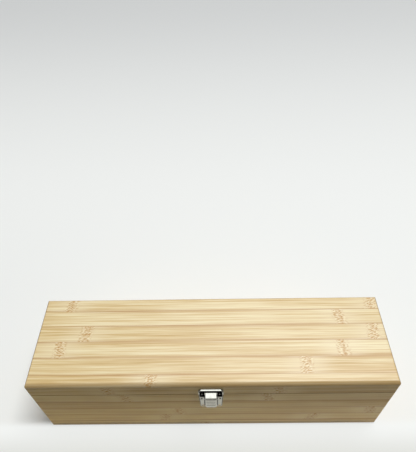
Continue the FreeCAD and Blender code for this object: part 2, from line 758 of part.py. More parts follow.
def latch_lever():
    """The lever: a claw that reaches in over the catch, a ridged thumb pad and two cheeks on the pivot."""
    body = new_body("latch_lever", latch_place)
    outside = -dim.lever_depth
    inside = outside + dim.lever_thickness
    half = dim.lever_width / 2
    section = new_sketch(body, "section", "YZ_Plane")
    draw_outline(section, [
        Corner(-dim.claw_inset, dim.claw_rise),
        Corner(outside, dim.claw_rise - dim.claw_fall),
        Corner(outside, -dim.pad_drop),
        Corner(inside, -dim.pad_drop),
        Corner(inside, claw_underside(-inside)),
        Corner(-dim.claw_inset, dim.claw_rise - dim.lever_thickness),
    ])
    add(body, "bent_plate", section, dim.lever_width, "Symmetric")
    dress(body, "Fillet", "bend", dim.lever_bend_radius,
          lambda edge: runs_along(edge, "X") and lies_at(edge, "Z", dim.claw_rise - dim.claw_fall))
    dress(body, "Fillet", "pad_corners", dim.pad_corner_radius,
          lambda edge: runs_along(edge, "Y") and lies_at(edge, "Z", -dim.pad_drop))

    def outer_rim(edge):
        box = edge.BoundBox
        on_side = lies_at(edge, "X", half) or lies_at(edge, "X", -half)
        on_claw = on_side and near(box.ZMax, dim.claw_rise) and box.YLength > MATCH_TOLERANCE
        on_bend = on_side and near(box.YMin, outside)
        on_face = lies_at(edge, "Y", outside)
        on_pad = on_face and (not runs_along(edge, "X") or lies_at(edge, "Z", -dim.pad_drop))
        return on_claw or on_bend or on_pad

    dress(body, "Fillet", "rim_ease", dim.lever_ease_radius, outer_rim)

    middle = half - dim.cheek_thickness / 2
    root = outside + dim.lever_thickness / 2
    centre = (-dim.pivot_depth, -dim.pivot_drop)
    for side in (-middle, middle):
        cheek = new_sketch(body, "cheek", "YZ_Plane", side)
        draw_outline(cheek, [
            Corner(root, dim.cheek_flare - dim.pivot_drop),
            Corner(root, -dim.cheek_flare - dim.pivot_drop),
            Corner(centre[0], centre[1] - dim.cheek_radius),
            Corner(centre[0] + dim.cheek_radius, centre[1], dim.cheek_radius, centre),
            Corner(centre[0], centre[1] + dim.cheek_radius, dim.cheek_radius, centre),
        ])
        add(body, "cheek_plate", cheek, dim.cheek_thickness, "Symmetric")
    pivot = new_sketch(body, "pivot", "YZ_Plane")
    draw_circle(pivot, *centre, dim.pivot_radius + dim.running_clearance)
    cut(body, "pivot_hole", pivot, sides="Symmetric")

    low = dim.ridge_start - dim.pad_drop
    shoulder = dim.ridge_width / 2
    crest = dim.ridge_width * dim.ridge_crest_share / 2
    bar = new_sketch(body, "bar", "YZ_Plane")
    draw_outline(bar, [
        Corner(outside, low - shoulder),
        Corner(outside, low + shoulder),
        Corner(outside - dim.ridge_height, low + crest),
        Corner(outside - dim.ridge_height, low - crest),
    ])
    ridge = add(body, "ridge", bar, dim.lever_width - dim.ridge_margin * 2, "Symmetric")
    ridges = body.newObject("PartDesign::LinearPattern", "ridges")
    ridges.Originals = [ridge]
    ridges.Direction = (bar, ["V_Axis"])
    bind(ridges, "Occurrences", dim.ridge_count)
    bind(ridges, "Length", dim.ridge_pitch * (dim.ridge_count - Size("1", 1)))
    body.Tip = ridges
    return body


def latch_pivot_pin():
    """The pin through both ears, a little short of their tapered sides."""
    ear_height = dim.housing_height - dim.housing_ear_rise - dim.latch_seam_gap
    taper = (dim.latch_width - dim.housing_foot_width) / ear_height
    width = dim.latch_width - dim.latch_flange * 2 - taper * (dim.pivot_drop - dim.latch_seam_gap)
    x, y, z = latch_place
    place = (x, y - dim.pivot_depth, z - dim.pivot_drop)
    return round_pin("latch_pivot_pin", dim.pivot_radius, width - dim.pivot_recess * 2, place)


def latch_spring():
    """A bent leaf spring: its foot lies on the housing's plate and its arm pushes the thumb pad out."""
    body = new_body("latch_spring", latch_place)
    back = -dim.housing_plate_thickness
    front = back - dim.spring_thickness
    tip = dim.lever_thickness + dim.spring_gap - dim.lever_depth
    section = new_sketch(body, "section", "YZ_Plane")
    draw_outline(section, [
        Corner(back, -dim.spring_top_drop),
        Corner(back, -dim.spring_bend_drop - dim.spring_thickness),
        Corner(tip, -dim.spring_tip_drop - dim.spring_thickness),
        Corner(tip, -dim.spring_tip_drop),
        Corner(front, -dim.spring_bend_drop),
        Corner(front, -dim.spring_top_drop),
    ])
    add(body, "strip", section, dim.spring_width, "Symmetric")
    return body


# Assembly

base_wall_height = seam_height - dim.bottom_panel_thickness
lid_rail_height = dim.lid_height - dim.lid_panel_thickness - dim.seam_gap
base_screw_level = hinge_axis_z - dim.hinge_screw_reach
lid_screw_level = hinge_axis_z + dim.hinge_screw_reach
base_nail_level = seam_height - dim.housing_nail_drop
lid_nail_level = seam_height + dim.keeper_nail_rise
lid_foot = seam_height + dim.seam_gap

sub_parts = [
    bottom_panel(),
    lid_panel(),
    neck_rest(),
    latch_keeper(),
    latch_nails("latch_keeper_nails", dim.keeper_nail_spread, lid_nail_level, dim.keeper_nail_seat),
    latch_housing(),
    latch_nails("latch_housing_nails", dim.housing_nail_spread, base_nail_level, dim.housing_nail_seat),
    latch_lever(),
    latch_pivot_pin(),
    latch_spring(),
    hinge_screws("hinge_base_screws", base_screw_level),
    hinge_screws("hinge_lid_screws", lid_screw_level),
]
sub_parts += carcass("base", "wall", base_wall_height, dim.bottom_panel_thickness, base_wall_height,
                     base_screw_level - dim.bottom_panel_thickness,
                     dim.housing_nail_spread, base_nail_level - dim.bottom_panel_thickness)
sub_parts += carcass("lid", "rail", lid_rail_height, lid_foot, ZERO,
                     lid_screw_level - lid_foot, dim.keeper_nail_spread, lid_nail_level - lid_foot)
for side, middle in (("left", -dim.hinge_spacing / 2), ("right", dim.hinge_spacing / 2)):
    sub_parts.append(hinge_leaf(f"hinge_{side}_base_leaf", middle, False))
    sub_parts.append(hinge_leaf(f"hinge_{side}_lid_leaf", middle, True))
    sub_parts.append(round_pin(f"hinge_{side}_pin", dim.hinge_pin_radius, dim.hinge_width,
                               (middle, hinge_axis_y, hinge_axis_z)))

# Nothing is written unless every object came out whole
doc.recompute()
for item in doc.Objects:
    if "Invalid" in item.State or "Error" in item.State:
        raise RuntimeError(f"{item.Label} failed: {item.State}")
for item in sub_parts:
    if item.Shape.isNull() or not item.Shape.isValid() or not item.Shape.Solids:
        raise RuntimeError(f"{item.Label} has no valid solid")

os.makedirs("parts", exist_ok=True)
for item in sub_parts:
    item.Shape.exportStep(f"parts/{item.Label}.step")
    print(f"{item.Label}: {len(item.Shape.Solids)} solid(s), {item.Shape.Volume:.1f} mm3")
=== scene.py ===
import json
import math

import bmesh
import bpy
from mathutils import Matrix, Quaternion, Vector


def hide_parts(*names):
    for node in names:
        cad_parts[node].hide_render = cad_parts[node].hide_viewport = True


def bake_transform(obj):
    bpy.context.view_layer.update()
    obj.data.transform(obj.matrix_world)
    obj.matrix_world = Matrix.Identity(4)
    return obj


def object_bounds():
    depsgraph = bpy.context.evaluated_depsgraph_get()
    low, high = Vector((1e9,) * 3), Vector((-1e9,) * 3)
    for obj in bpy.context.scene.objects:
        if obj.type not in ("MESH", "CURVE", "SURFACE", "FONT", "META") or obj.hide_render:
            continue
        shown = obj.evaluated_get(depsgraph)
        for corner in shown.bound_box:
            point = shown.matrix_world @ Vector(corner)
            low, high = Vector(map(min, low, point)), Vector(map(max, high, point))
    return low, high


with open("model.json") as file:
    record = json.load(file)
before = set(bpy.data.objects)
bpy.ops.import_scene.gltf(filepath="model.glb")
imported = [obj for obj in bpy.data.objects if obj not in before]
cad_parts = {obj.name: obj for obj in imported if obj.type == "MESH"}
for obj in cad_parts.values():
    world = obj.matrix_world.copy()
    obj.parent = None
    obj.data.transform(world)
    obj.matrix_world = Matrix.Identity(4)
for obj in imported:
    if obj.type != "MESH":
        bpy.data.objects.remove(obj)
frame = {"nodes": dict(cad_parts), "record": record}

cad_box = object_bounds()

# A closed presentation box in laminated bamboo with a chrome latch, on a pale floor under a soft lamp.
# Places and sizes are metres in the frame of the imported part, and millimetres in the pattern of the wood.
# A pair of numbers named as a fade is where a change starts and where it is complete.


def linear(red, green, blue):
    """A display colour of 0 to 255 as the linear colour that shaders take."""
    def channel(byte):
        share = byte / 255
        return share / 12.92 if share <= 0.04045 else ((share + 0.055) / 1.055) ** 2.4
    return (channel(red), channel(green), channel(blue), 1.0)


BLACK = (0.0, 0.0, 0.0, 1.0)

# Camera, solved from the corners of the box
CAMERA_PLACE = Vector((0.00543, -0.22437, 0.51708))
CAMERA_TARGET = Vector((-0.00320, 0.15735, 0.10400))
CAMERA_ROLL = math.radians(-1.794)
CAMERA_LENS = 35.395
CAMERA_SENSOR = 36.0
CAMERA_CLIP = 0.01

# Lamp, and a world whose light fades from the front to the back by the Y of its direction
LAMP_PLACE = Vector((1.25, 0.3, 5.0))
LAMP_TARGET = Vector((0.0, 0.0, 0.05))
LAMP_SIZE = 2.0
LAMP_POWER = 211.0
WORLD_BACKGROUND = (0.62, 0.63, 0.62, 1.0)
WORLD_FRONT_LIGHT = (0.03, 0.03, 0.03, 1.0)
WORLD_BACK_LIGHT = (0.35, 0.35, 0.35, 1.0)
WORLD_FADE = (-0.35, 0.15)

# Floor as it is seen: its colour and the share of it that glows, near, far behind and in front of the box.
# # Its darker colour far behind and in front of the box is painted shade, and its larger glow in front is
# # painted light that lightens the box's shadow there.
FLOOR_SIZE = 8.0
FLOOR_NEAR = linear(242, 244, 242)
SHADED_FLOOR_FAR = linear(207, 209, 209)
SHADED_FLOOR_FRONT = linear(221, 222, 217)
FLOOR_NEAR_GLOW = 0.15
FLOOR_FAR_GLOW = 0.52
PAINTED_LIGHT_FRONT_GLOW = 0.86
FLOOR_FAR_SHADE_FADE = (0.15, 1.25)
FLOOR_FAR_GLOW_FADE = (0.1, 0.4)
FLOOR_FRONT_SHADE_FADE = (-0.05, -0.09)
PAINTED_LIGHT_FRONT_FADE = (-0.043, -0.052)
FLOOR_WIDE_FADE = (0.4, -0.6)
FLOOR_SIDE_FADE = (0.25, 0.8)

# Colours of the light that the floor throws back up
BOUNCE_NEAR = (0.96, 0.86, 0.61, 1.0)
BOUNCE_LEFT = (0.76, 0.61, 0.17, 1.0)
BOUNCE_FRONT = (0.15, 0.14, 0.12, 1.0)
BOUNCE_LEFT_FADE = (0.12, -0.18)
BOUNCE_FRONT_FADE = (-0.08, -0.26)

# Cards that only mirror-like surfaces see: a grey one in front, a dark one above it and a white one overhead
LEVEL = (0, 0, 0)
UPRIGHT = (math.radians(90), 0, 0)
FRONT_CARD_Y = -0.135
FRONT_CARD_WIDTH = 1.2
GREY_CARD_TOP = 0.055
GREY_CARD_COLOUR = (1.0, 0.98, 0.92, 1.0)
GREY_CARD_STRENGTH = 0.25
DARK_CARD_TOP = 0.092
WHITE_CARD_PLACE = Vector((0.13, 0.475, 1.30))
WHITE_CARD_SIZE = (0.76, 1.7)
WHITE_CARD_COLOUR = (0.93, 0.97, 1.0, 1.0)
WHITE_CARD_STRENGTH = 2.2

# Colours of the bamboo
BAMBOO_DARK = linear(186, 146, 64)
BAMBOO_MIDDLE = linear(218, 192, 137)
BAMBOO_LIGHT = linear(238, 224, 181)
BAMBOO_GLUE = linear(168, 114, 38)
BAMBOO_FLECK = linear(186, 134, 50)
BAMBOO_PALE_FLECK = linear(243, 231, 196)
BAMBOO_END = linear(152, 118, 74)
BAMBOO_PORE = linear(104, 74, 40)

# Bamboo strips: their width and the place of one of the glue lines between them
MILLIMETRES = 1000.0
BOARD_LENGTH = (cad_box[1][0] - cad_box[0][0]) * MILLIMETRES
LID_STRIP = 17.8
LID_GLUE_LINE = 33.5
WALL_STRIP = 17.6
WALL_GLUE_LINE = 83.15
BOTTOM_GLUE_LINE = 0.0

# Strips that show in the main view, each with its tone, from 0 for brown to 1 for pale, and the places of
# # its nodes from the left end. The lid's go from front to back, and the front's from the foot up. The
# front's
# # tones are partly the strips' own and partly painted light, paler towards the foot.
LID_STRIPS = [
    (0.43, (120.0,)),
    (0.50, (273.75,)),
    (0.74, (26.0, 312.5)),
    (0.56, (50.0, 347.0)),
    (0.62, (316.0,)),
    (0.55, (28.8, 352.0)),
]
# Painted light: these tones are lifted towards the foot and lowered higher up, as if the foot were lit more.
FRONT_STRIPS = [
    (0.65, ()),
    (0.60, (128.75, 287.5)),
    (0.52, (145.0, 346.0)),
    (0.30, ()),
    (0.62, (92.5, 236.0)),
    (0.33, (78.75, 246.0)),
    (0.50, ()),
]
# Number of the first strip in both lists, counted from the glue line
FIRST_STRIP = -5
# Place, in lengths of the board, that is too far off to show and stands for no node
NO_NODE = 3.0

# Chance: weights that keep its draws for strips and boards apart, the step in depth from board to board,
# the distance between nodes that aren't listed, and how far it shifts the noises
STRIP_WEIGHT = 1.31
BOARD_WEIGHT = 7.77
BOARD_DEPTH = 100.0
NODE_SPACING = 235.0
WAVER_SHIFT = 40.0
FIBRE_SHIFT = 700.0

# Nodes, the rings of the stem: how far they waver and slant, and how far from them their marks show
WAVER_SIZE = 6.0
WAVER_REACH = 4.0
SLANT_REACH = 9.0
NODE_FADE = (9.0, 2.5)
BAND_FADE = (4.5, 0.5)
HALO_FADE = (34.0, 5.0)
FLECK_LENGTH = 3.2
FLECK_DETAIL = 1.5
BROWN_FLECK_FADE = (0.5, 0.6)
PALE_FLECK_FADE = (0.47, 0.36)

# Fibres: their length, their width and the detail in their noise, and the weight of each noise in the tone
FIBRE_SWERVE = 3.0
FIBRE_ROUGHNESS = 0.55
BROAD_FIBRES = (260.0, 4.0, 2.0)
SLIM_FIBRES = (120.0, 1.4, 3.0)
FINE_FIBRES = (45.0, 0.8, 2.0)
DRIFT_FIBRES = (130.0, 22.0, 1.0)
STRIP_TONE = 0.4
BROAD_TONE = 0.5
SLIM_TONE = 0.9
FINE_TONE = 0.65
DRIFT_TONE = 0.5
TONE_STOPS = [(0.18, BAMBOO_DARK), (0.5, BAMBOO_MIDDLE), (0.8, BAMBOO_LIGHT)]

# Glue lines and the brown beside them, by the distance from the line and by where the fibres let them show
GLUE_FADE = (0.7, 0.1)
GLUE_GAP_FADE = (0.25, 0.5)
GLUE_MOST = 0.9
SHADE_FADE = (3.6, 0.2)
SHADE_GAP_FADE = (0.62, 0.35)
SHADE_MOST = 0.5

# Rims, darkened towards the end-grain brown as painted shade, and cut ends, by how far a face looks across
# or along the grain
RIM_SHADE_FADE = (0.1, 0.6)
END_FADE = (0.3, 0.7)
PORE_SCALE = 1.1
PORE_FADE = (0.42, 0.2)

# Lacquer: its roughness, what the fibres add to that, and its relief, with the height in metres
LACQUER_ROUGHNESS = 0.36
LACQUER_FIBRES = 0.16
COAT_ROUGHNESS = 0.22
RELIEF_FINE = 0.6
RELIEF_BROAD = 0.4
RELIEF_GLUE = 0.8
RELIEF_STRENGTH = 0.35
RELIEF_HEIGHT = 0.00012

# Metals: the bright and the dull colour of each
CHROME = ((0.50, 0.485, 0.43, 1.0), (0.43, 0.42, 0.37, 1.0))
NICKEL = ((0.72, 0.70, 0.65, 1.0), (0.52, 0.50, 0.46, 1.0))
STEEL = ((0.70, 0.69, 0.67, 1.0), (0.48, 0.47, 0.45, 1.0))
# The nails' steel is dark partly as their own colour and partly as painted shade, so the nail holes show
# dark.
NAIL_STEEL_AND_SHADE = ((0.22, 0.22, 0.21, 1.0), (0.12, 0.12, 0.11, 1.0))
SPRING_STEEL = ((0.42, 0.42, 0.44, 1.0), (0.27, 0.27, 0.29, 1.0))

# Chrome plate: smears, a ripple, and painted shade that darkens it in its corners and crevices
CHROME_ROUGHNESS = 0.05
SMEAR_ROUGHNESS = 0.07
SMEAR_SIZE = 0.004
SMEAR_DETAIL = 4.0
SMEAR_FADE = (0.35, 0.75)
RIPPLE_SIZE = 0.006
RIPPLE_DETAIL = 1.0
RIPPLE_STRENGTH = 0.05
RIPPLE_HEIGHT = 0.0004
CREVICE_SHADE_COLOUR = (0.04, 0.036, 0.03, 1.0)
CREVICE_SHADE_REACH = 0.002
CREVICE_SHADE_SAMPLES = 16
CREVICE_SHADE_FADE = (0.97, 0.6)

# Brushed metal: fine lines along X under soft clouds
BRUSH_LENGTH = 0.008
BRUSH_WIDTH = 0.00012
BRUSH_DETAIL = 3.0
BRUSH_STRENGTH = 0.12
BRUSH_HEIGHT = 0.00005
CLOUD_SIZE = 0.003
CLOUD_ROUGHNESS = 0.12

# Leaf spring behind the latch's thumb pad: the middle of its arm, from the bend to near the tip
SPRING_ROOT = Vector((-0.0008, -0.0500, 0.0738))
SPRING_TIP = Vector((-0.0008, -0.0556, 0.0719))
SPRING_CUTS = 12

# Sockets of the mix node that hold its two colours and the result
MIX_FIRST = 6
MIX_SECOND = 7
MIX_RESULT = 2


class Nodes:
    """A node tree with short ways to add and join nodes."""

    def __init__(self, tree):
        self.tree = tree

    def feed(self, node, sources):
        """Sets a node's inputs to numbers or colours, or links them to the outputs of other nodes."""
        for key, source in sources.items():
            if isinstance(source, bpy.types.NodeSocket):
                self.tree.links.new(source, node.inputs[key])
            else:
                node.inputs[key].default_value = source

    def math(self, operation, first, second=0.0):
        node = self.tree.nodes.new("ShaderNodeMath")
        node.operation = operation
        self.feed(node, {0: first, 1: second})
        return node.outputs[0]

    def plus(self, first, second):
        return self.math("ADD", first, second)

    def minus(self, first, second):
        return self.math("SUBTRACT", first, second)

    def times(self, first, second):
        return self.math("MULTIPLY", first, second)

    def over(self, first, second):
        return self.math("DIVIDE", first, second)

    def around(self, middle, *terms):
        """A middle value plus the swings of noises about their own middle, each with its weight."""
        total = middle - sum(weight for noise, weight in terms) / 2
        for noise, weight in terms:
            total = self.plus(total, self.times(noise, weight))
        return total

    def fade(self, value, start, stop):
        """Goes smoothly from 0 where the value is at its start to 1 at its stop."""
        node = self.tree.nodes.new("ShaderNodeMapRange")
        node.interpolation_type = "SMOOTHSTEP"
        rising = start < stop
        self.feed(node, {
            "Value": value,
            "From Min": min(start, stop),
            "From Max": max(start, stop),
            "To Min": 0.0 if rising else 1.0,
            "To Max": 1.0 if rising else 0.0,
        })
        return node.outputs["Result"]

    def vector(self, x, y, z):
        node = self.tree.nodes.new("ShaderNodeCombineXYZ")
        self.feed(node, {"X": x, "Y": y, "Z": z})
        return node.outputs["Vector"]

    def split(self, vector):
        node = self.tree.nodes.new("ShaderNodeSeparateXYZ")
        self.feed(node, {"Vector": vector})
        return node.outputs

    def scaled(self, vector, factor):
        node = self.tree.nodes.new("ShaderNodeVectorMath")
        node.operation = "SCALE"
        self.feed(node, {0: vector, "Scale": factor})
        return node.outputs["Vector"]

    def coordinates(self, kind):
        return self.tree.nodes.new("ShaderNodeTexCoord").outputs[kind]

    def noise(self, vector, detail=2.0, roughness=0.5):
        """Cloudy noise from 0 to 1, one unit of the vector to a cloud."""
        node = self.tree.nodes.new("ShaderNodeTexNoise")
        self.feed(node, {"Vector": vector, "Scale": 1.0, "Detail": detail, "Roughness": roughness})
        return node.outputs["Fac"]

    def random(self, number):
        """Three steady random shares for a number."""
        node = self.tree.nodes.new("ShaderNodeTexWhiteNoise")
        node.noise_dimensions = "1D"
        self.feed(node, {"W": number})
        return self.split(node.outputs["Color"])

    def mix(self, amount, first, second):
        node = self.tree.nodes.new("ShaderNodeMix")
        node.data_type = "RGBA"
        self.feed(node, {"Factor": amount, MIX_FIRST: first, MIX_SECOND: second})
        return node.outputs[MIX_RESULT]

    def tint(self, colour, other, mask, most):
        """A colour mixed with another, by as much as the most where the mask is 1."""
        return self.mix(self.times(mask, most), colour, other)

    def ramp(self, value, stops, interpolation="LINEAR"):
        """A colour ramp through (place, colour) stops."""
        node = self.tree.nodes.new("ShaderNodeValToRGB")
        node.color_ramp.interpolation = interpolation
        elements = node.color_ramp.elements
        for place, colour in stops[len(elements):]:
            elements.new(place)
        for element, (place, colour) in zip(elements, stops):
            element.position = place
            element.color = colour
        self.feed(node, {"Fac": value})
        return node.outputs["Color"]

    def seen(self):
        """1 for what the camera sees, straight, mirrored or through clear things, and 0 for other light."""
        paths = self.tree.nodes.new("ShaderNodeLightPath").outputs
        mirrored = self.math("MAXIMUM", paths["Is Camera Ray"], paths["Is Glossy Ray"])
        return self.math("MAXIMUM", mirrored, paths["Is Transmission Ray"])


class Shader(Nodes):
    """A material with one principled surface."""

    def __init__(self, name):
        self.material = bpy.data.materials.new(name)
        self.material.use_nodes = True
        super().__init__(self.material.node_tree)
        self.surface = self.tree.nodes["Principled BSDF"]

    def bump(self, height, strength, distance):
        node = self.tree.nodes.new("ShaderNodeBump")
        self.feed(node, {"Height": height, "Strength": strength, "Distance": distance})
        self.feed(self.surface, {"Normal": node.outputs["Normal"]})

    def finish(self, **values):
        """Sets the surface's sockets, named with _ for a space."""
        self.feed(self.surface, {name.replace("_", " "): source for name, source in values.items()})
        return self.material


# Bamboo

class Bamboo(Shader):
    """Laminated bamboo: toned strips, long fibres, glue lines, speckled nodes and a satin lacquer.

    The grain runs along one axis and the strips lie side by side along another. A table lists the tones and
    the nodes of the strips, and without one they are left to chance. Fibres stand out more as crisp goes up.
    """

    def __init__(self, name, grain, across, strip, glue_line, table=None, crisp=0.8):
        super().__init__(name)
        place = self.split(self.scaled(self.coordinates("Object"), MILLIMETRES))
        facing = self.split(self.coordinates("Normal"))
        self.along = place[grain]
        self.side = place[across]
        self.inward = place["XYZ".replace(grain, "").replace(across, "")]
        self.lay_strips(strip, glue_line)
        self.set_nodes(table)
        self.draw_fibres()
        self.draw_glue_lines()
        colour = self.fleck_nodes(self.face_colour(crisp))
        rim_shade = self.fade(self.math("ABSOLUTE", facing[across]), *RIM_SHADE_FADE)
        end = self.fade(self.math("ABSOLUTE", facing[grain]), *END_FADE)
        # Painted shade: faces that look across the grain, such as the lid's rounded front edge, are darkened
        # towards the end-grain brown.
        colour = self.tint(colour, BAMBOO_END, rim_shade, most=0.45)
        self.colour = self.mix(end, colour, self.end_grain())

    def lay_strips(self, strip, glue_line):
        """Numbers the strips, draws their chances and measures how far their edges are."""
        count = self.over(self.minus(self.side, glue_line), strip)
        self.index = self.math("FLOOR", count)
        self.part = self.minus(count, self.index)
        nearest = self.math("MINIMUM", self.part, self.minus(1.0, self.part))
        self.edge = self.times(nearest, strip)
        board = self.math("FLOOR", self.over(self.inward, BOARD_DEPTH))
        draw = self.plus(self.times(self.index, STRIP_WEIGHT), self.times(board, BOARD_WEIGHT))
        self.chance = self.random(draw)
        self.slant = self.minus(self.chance["Z"], 0.5)

    def chance_strip(self, along):
        """The tone of a strip and the distance along the grain to its nearest node, by chance."""
        shifted = self.plus(along, self.times(self.chance["Y"], NODE_SPACING))
        turn = self.math("FLOORED_MODULO", shifted, NODE_SPACING)
        return self.chance["X"], self.math("ABSOLUTE", self.minus(turn, NODE_SPACING / 2))

    def listed_strip(self, along, table):
        """The same two values from a table of strips."""
        stops = []
        for number, (tone, places) in enumerate(table):
            shares = [place / BOARD_LENGTH for place in places] + [NO_NODE] * 2
            stops.append((number / len(table), (shares[0], shares[1], tone, 1.0)))
        row = self.plus(self.minus(self.index, float(FIRST_STRIP)), 0.5)
        found = self.split(self.ramp(self.over(row, float(len(table))), stops, "CONSTANT"))
        share = self.plus(self.over(along, BOARD_LENGTH), 0.5)
        gaps = [self.math("ABSOLUTE", self.minus(share, found[letter])) for letter in "XY"]
        return found["Z"], self.times(self.math("MINIMUM", *gaps), BOARD_LENGTH)

    def set_nodes(self, table):
        """Marks out the nodes, which follow a slanting line that wavers across each strip."""
        self.waver = self.noise(self.vector(self.times(self.chance["X"], WAVER_SHIFT),
                                            self.over(self.side, WAVER_SIZE),
                                            self.over(self.inward, WAVER_SIZE)))
        wavering = self.plus(self.along, self.around(0.0, (self.waver, WAVER_REACH)))
        tilt = self.times(self.minus(self.part, 0.5), self.times(self.slant, SLANT_REACH))
        along = self.plus(wavering, tilt)
        if table is None:
            self.strip_tone, gap = self.chance_strip(along)
        else:
            self.strip_tone, gap = self.listed_strip(along, table)
        self.node = self.fade(gap, *NODE_FADE)
        self.band = self.fade(gap, *BAND_FADE)
        self.halo = self.fade(gap, *HALO_FADE)

    def draw_fibres(self):
        """Noises drawn out along the grain, which swerve round the nodes and differ from strip to strip."""
        swerve = self.times(self.times(self.minus(self.waver, 0.5), self.halo), FIBRE_SWERVE)
        lane = self.plus(self.side, swerve)
        run = self.plus(self.along, self.times(self.chance["Z"], FIBRE_SHIFT))

        def fibres(length, width, detail):
            drawn_out = self.vector(self.over(run, length), self.over(lane, width),
                                    self.over(self.inward, width))
            return self.noise(drawn_out, detail, FIBRE_ROUGHNESS)

        self.broad = fibres(*BROAD_FIBRES)
        self.slim = fibres(*SLIM_FIBRES)
        self.fine = fibres(*FINE_FIBRES)
        self.drift = fibres(*DRIFT_FIBRES)
        dash = self.plus(self.side, self.times(self.along, self.slant))
        self.flecks = self.noise(self.vector(self.over(run, FLECK_LENGTH), dash, self.inward), FLECK_DETAIL)

    def draw_glue_lines(self):
        """The glue lines, which come and go."""
        self.glue = self.times(self.fade(self.edge, *GLUE_FADE), self.fade(self.drift, *GLUE_GAP_FADE))

    def face_colour(self, crisp):
        """The fibres' colour, browner in patches beside the glue lines."""
        tone = self.around(0.5, (self.strip_tone, STRIP_TONE), (self.broad, BROAD_TONE),
                           (self.slim, SLIM_TONE * crisp), (self.fine, FINE_TONE * crisp),
                           (self.drift, DRIFT_TONE))
        patches = self.times(self.fade(self.broad, *SHADE_GAP_FADE), SHADE_MOST)
        shade = self.times(self.fade(self.edge, *SHADE_FADE), patches)
        browning = self.math("MAXIMUM", shade, self.times(self.glue, GLUE_MOST))
        return self.mix(browning, self.ramp(tone, TONE_STOPS), BAMBOO_GLUE)

    def fleck_nodes(self, colour):
        """A colour with pale and brown marks at the nodes."""
        brown = self.times(self.node, self.fade(self.flecks, *BROWN_FLECK_FADE))
        pale = self.times(self.node, self.fade(self.flecks, *PALE_FLECK_FADE))
        colour = self.tint(colour, BAMBOO_PALE_FLECK, self.halo, most=0.3)
        colour = self.tint(colour, BAMBOO_FLECK, self.band, most=0.28)
        colour = self.tint(colour, BAMBOO_FLECK, brown, most=0.95)
        return self.tint(colour, BAMBOO_PALE_FLECK, pale, most=0.7)

    def end_grain(self):
        """The colour of cut ends, with the dark pores of the fibres."""
        pores = self.tree.nodes.new("ShaderNodeTexVoronoi")
        self.feed(pores, {"Vector": self.vector(0.0, self.side, self.inward), "Scale": PORE_SCALE})
        pore = self.fade(pores.outputs["Distance"], *PORE_FADE)
        return self.tint(BAMBOO_END, BAMBOO_PORE, pore, most=0.6)

    def lacquered(self, sheen=0.2, coat=0.05):
        """The finished material, under a lacquer with a faint relief."""
        relief = self.plus(self.times(self.fine, RELIEF_FINE), self.times(self.broad, RELIEF_BROAD))
        relief = self.minus(relief, self.times(self.glue, RELIEF_GLUE))
        self.bump(relief, RELIEF_STRENGTH, RELIEF_HEIGHT)
        roughness = self.plus(self.times(self.fine, LACQUER_FIBRES), LACQUER_ROUGHNESS)
        return self.finish(Base_Color=self.colour, Roughness=roughness, Specular_IOR_Level=sheen,
                           Coat_Weight=coat, Coat_Roughness=COAT_ROUGHNESS)


# Metals

def plated(name, bright, dull):
    """Plated metal with faint smears in its shine, a slight ripple on it and painted shade in its corners,
    where it darkens and loses its metal.
    """
    shader = Shader(name)
    place = shader.coordinates("Object")
    smears = shader.noise(shader.scaled(place, 1 / SMEAR_SIZE), SMEAR_DETAIL)
    ripple = shader.noise(shader.scaled(place, 1 / RIPPLE_SIZE), RIPPLE_DETAIL)
    shader.bump(ripple, RIPPLE_STRENGTH, RIPPLE_HEIGHT)
    openness = shader.tree.nodes.new("ShaderNodeAmbientOcclusion")
    openness.only_local = True
    openness.samples = CREVICE_SHADE_SAMPLES
    shader.feed(openness, {"Distance": CREVICE_SHADE_REACH})
    # Painted shade: where ambient occlusion finds a corner or crevice, the chrome turns dark and stops being
    # metal.
    crevice_shade = shader.fade(openness.outputs["AO"], *CREVICE_SHADE_FADE)
    metal = shader.mix(shader.fade(smears, *SMEAR_FADE), bright, dull)
    colour = shader.mix(crevice_shade, metal, CREVICE_SHADE_COLOUR)
    roughness = shader.plus(shader.times(smears, SMEAR_ROUGHNESS), CHROME_ROUGHNESS)
    return shader.finish(Base_Color=colour, Roughness=roughness, Metallic=shader.minus(1.0, crevice_shade),
                         Specular_IOR_Level=0.1)


def brushed(name, bright, dull, roughness):
    """Satin metal with fine lines along X."""
    shader = Shader(name)
    place = shader.coordinates("Object")
    axes = shader.split(place)
    drawn_out = shader.vector(shader.over(axes["X"], BRUSH_LENGTH), shader.over(axes["Y"], BRUSH_WIDTH),
                              shader.over(axes["Z"], BRUSH_WIDTH))
    lines = shader.noise(drawn_out, BRUSH_DETAIL)
    clouds = shader.noise(shader.scaled(place, 1 / CLOUD_SIZE), BRUSH_DETAIL)
    shader.bump(lines, BRUSH_STRENGTH, BRUSH_HEIGHT)
    colour = shader.mix(shader.times(shader.plus(lines, clouds), 0.5), bright, dull)
    cloudy = shader.plus(shader.times(clouds, CLOUD_ROUGHNESS), roughness)
    return shader.finish(Base_Color=colour, Roughness=cloudy, Metallic=1.0)


